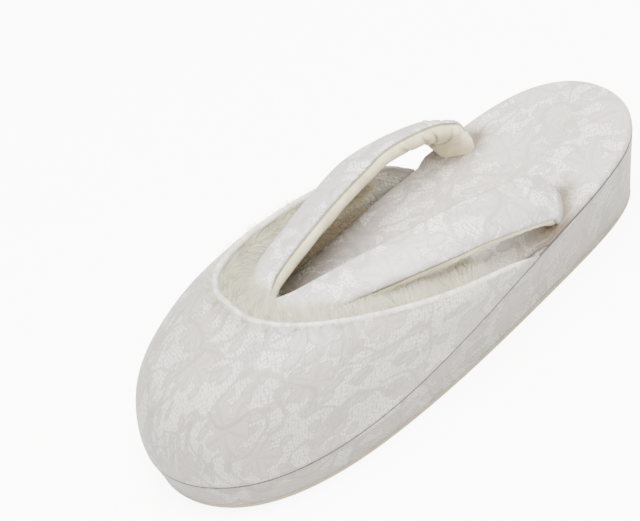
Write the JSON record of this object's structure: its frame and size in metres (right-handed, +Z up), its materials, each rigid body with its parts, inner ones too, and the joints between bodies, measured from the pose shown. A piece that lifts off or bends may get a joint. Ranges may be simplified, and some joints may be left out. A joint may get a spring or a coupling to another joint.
{
  "type": "zori sandal",
  "caption": "Zori sandal with wedge sole, padded footbed, fur-lined toe cover and padded toe-post straps.",
  "frame": {"origin": "on the floor under the middle of the sole", "axes": "+X towards the toe, +Y to the wearer's left, +Z up"},
  "size_m": [0.23, 0.089, 0.0661],
  "materials": {
    "tread": "matte tan tread rubber",
    "lace_vinyl": "satin vinyl with a pressed white lace pattern",
    "white_vinyl": "satin white vinyl strip",
    "fur": "ivory pile fur",
    "cream_velvet": "cream velvet, padded"
  },
  "bodies": {
    "root": {"outsole": "tread", "sole_body": "lace_vinyl", "footbed": "lace_vinyl", "toe_cover": "lace_vinyl", "throat_binding": "white_vinyl", "fur_lining": "fur", "strap_face": "lace_vinyl", "strap_lining": "cream_velvet", "toe_thong": "cream_velvet"}
  },
  "joints": []
}
